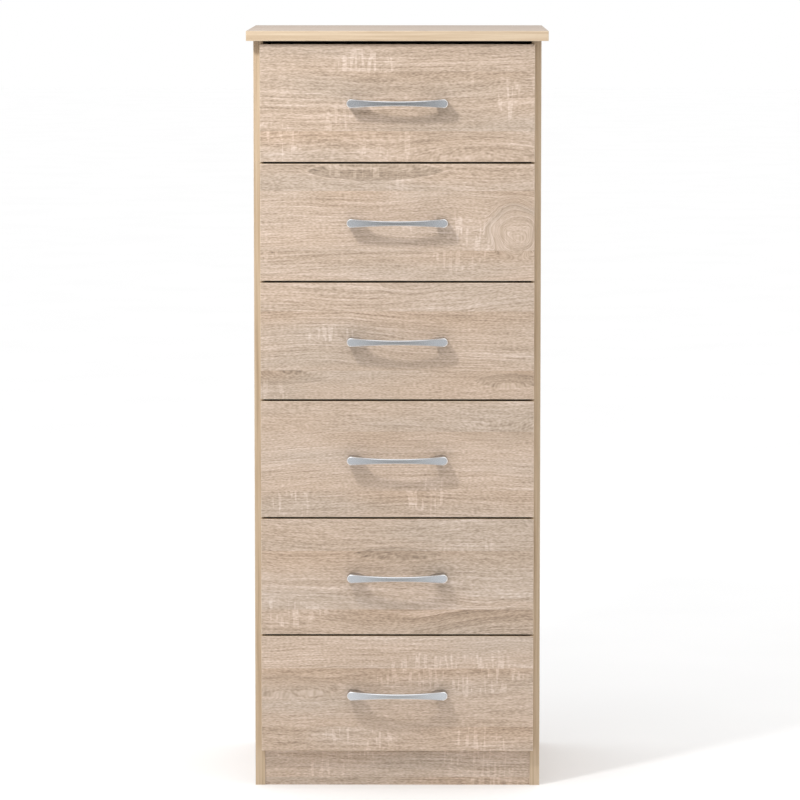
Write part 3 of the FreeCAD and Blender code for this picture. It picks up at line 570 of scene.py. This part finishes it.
def steel_material():
    """Zinc-plated steel of the screws, cams, bolts and pins."""
    look = Look("zinc_plated_steel")
    x, y, z = look.place
    flake = look.noise(x * 700.0, y * 700.0, z * 700.0, detail=3.0)
    colour = look.ramp(flake, [(0.3, (0.470, 0.470, 0.455)), (0.7, (0.640, 0.640, 0.620))])
    return look.finish(colour, flake * 0.35 + 0.2, flake, 0.00003, Metallic=1.0)


def plastic_material(name, dark, light):
    """Moulded plastic with a fine grained skin."""
    look = Look(name)
    x, y, z = look.place
    skin = look.noise(x * 1400.0, y * 1400.0, z * 1400.0, detail=1.0)
    flow = look.noise(x * 8.0, y * 30.0, z * 30.0, detail=2.0)
    colour = look.ramp(flow, [(0.3, dark), (0.7, light)])
    return look.finish(colour, skin * 0.2 + 0.38, skin, 0.00004, Specular_IOR_Level=0.4)


def dowel_material():
    """Turned beech."""
    look = Look("beech")
    x, y, z = look.place
    grain = look.noise(x * 60.0, y * 900.0, z * 900.0, detail=2.0)
    colour = look.ramp(grain, [(0.3, (0.430, 0.290, 0.165)), (0.7, (0.620, 0.450, 0.280))])
    return look.finish(colour, 0.6, grain, 0.0001)


def dress():
    """Gives each CAD node its material, and its own number, which makes the decor of each board differ."""
    side = oak_material("oak_side_panel", Z, Y, X, raw_rear=True, raw_under=True)
    # The top gets a painted shade and sheen, half way to that darker, flatter tone.
    top = oak_material("oak_top", X, Y, Z, raw_rear=True, shade_and_sheen=0.5)
    shelf = oak_material("oak_bottom_panel", X, Y, Z, raw_rear=True)
    kick = oak_material("oak_plinth", X, Z, Y, raw_under=True)
    back = hardboard_material("back_hardboard", Y, -1.0)
    foil = foil_material()
    drawer_bottom = hardboard_material("drawer_bottom_hardboard", Z, 1.0)
    metal = handle_material()
    steel = steel_material()
    runner = plastic_material("runner_plastic", (0.560, 0.550, 0.510), (0.650, 0.640, 0.600))
    strip = plastic_material("joining_strip_plastic", (0.700, 0.690, 0.660), (0.780, 0.770, 0.740))
    looks = {
        "left_side_panel": side,
        "right_side_panel": side,
        "top_panel": top,
        "bottom_panel": shelf,
        "plinth_panel": kick,
        "rear_rail": kick,
        "back_board_upper": back,
        "back_board_lower": back,
        "back_joining_strip": strip,
        "left_runners": runner,
        "right_runners": runner,
        "runner_screws": steel,
        "cam_locks": steel,
        "cam_bolts": steel,
        "panel_pins": steel,
        "wooden_dowels": dowel_material(),
    }
    for drawer in DRAWERS:
        looks[drawer + "_front"] = front_material(drawer)
        looks[drawer + "_left_side"] = foil
        looks[drawer + "_right_side"] = foil
        looks[drawer + "_back"] = foil
        looks[drawer + "_bottom"] = drawer_bottom
        looks[drawer + "_handle"] = metal
        looks[drawer + "_fasteners"] = steel
    for number, (node, material) in enumerate(looks.items(), start=1):
        piece = frame["nodes"][node]
        piece.material_slots[0].material = material
        piece.pass_index = number


# ---------------------------------------------------------------- stage


def aim(thing, target):
    """Turns a camera or light, which look along their own -Z, to the target."""
    thing.rotation_euler = (Vector(target) - thing.location).to_track_quat("-Z", "Y").to_euler()


def add_object(name, data, location=(0, 0, 0)):
    thing = bpy.data.objects.new(name, data)
    thing.location = location
    bpy.context.scene.collection.objects.link(thing)
    return thing


def make_camera():
    """Far in front, a little to the right, a little above the top."""
    data = bpy.data.cameras.new("camera")
    data.lens = CAMERA_LENS
    data.sensor_width = 36.0
    camera = add_object("camera", data, CAMERA_PLACE)
    aim(camera, CAMERA_TARGET)
    bpy.context.scene.camera = camera


def soft_light(name, direction, distance, size, power, target):
    """A square area light on a line from the target."""
    data = bpy.data.lights.new(name, "AREA")
    data.shape = "SQUARE"
    data.size = size
    data.energy = power
    light = add_object(name, data, Vector(target) + Vector(direction).normalized() * distance)
    light.visible_camera = False
    aim(light, target)


def make_world():
    """A white studio: bright above, and dimmer in the direction that the chest faces."""
    world = bpy.data.worlds.new("studio")
    bpy.context.scene.world = world
    world.use_nodes = True
    tree = world.node_tree
    background = tree.nodes["Background"]
    coordinates = tree.nodes.new("ShaderNodeTexCoord")
    split = tree.nodes.new("ShaderNodeSeparateXYZ")
    tree.links.new(coordinates.outputs["Generated"], split.inputs[0])
    up = Field(tree, split.outputs[2]).rise(0.0, 1.0)
    ahead = Field(tree, split.outputs[1]).rise(-0.87, -0.99)
    glow = (up * 0.66 + 0.61) * (ahead * -0.5 + 1.0)
    path = Field(tree, tree.nodes.new("ShaderNodeLightPath").outputs["Is Camera Ray"])
    tree.links.new(path.pick(glow, 1.0).socket, background.inputs["Strength"])
    background.inputs["Color"].default_value = (1.0, 1.0, 1.0, 1.0)


def make_floor():
    """A plain pale floor at the level that the chest stands on."""
    half = FLOOR_HALF_WIDTH
    mesh = bpy.data.meshes.new("floor")
    corners = [(-half, -half, 0), (half, -half, 0), (half, half, 0), (-half, half, 0)]
    mesh.from_pydata(corners, [], [(0, 1, 2, 3)])
    floor = add_object("floor", mesh, (0, 0, cad_low.z))
    look = Look("pale_floor")
    x, y, z = look.place
    tone = look.noise(x * 3.0, y * 3.0, 0.0, detail=2.0)
    colour = look.ramp(tone, [(0.3, (0.94, 0.94, 0.94)), (0.7, (0.96, 0.96, 0.96))])
    mesh.materials.append(look.finish(colour, 0.7))


def make_stage():
    make_camera()
    make_world()
    make_floor()
    soft_light("key", KEY_DIRECTION, KEY_DISTANCE, KEY_SIZE, KEY_POWER, KEY_TARGET)
    bpy.context.scene.view_settings.view_transform = "Standard"


dress()
make_stage()
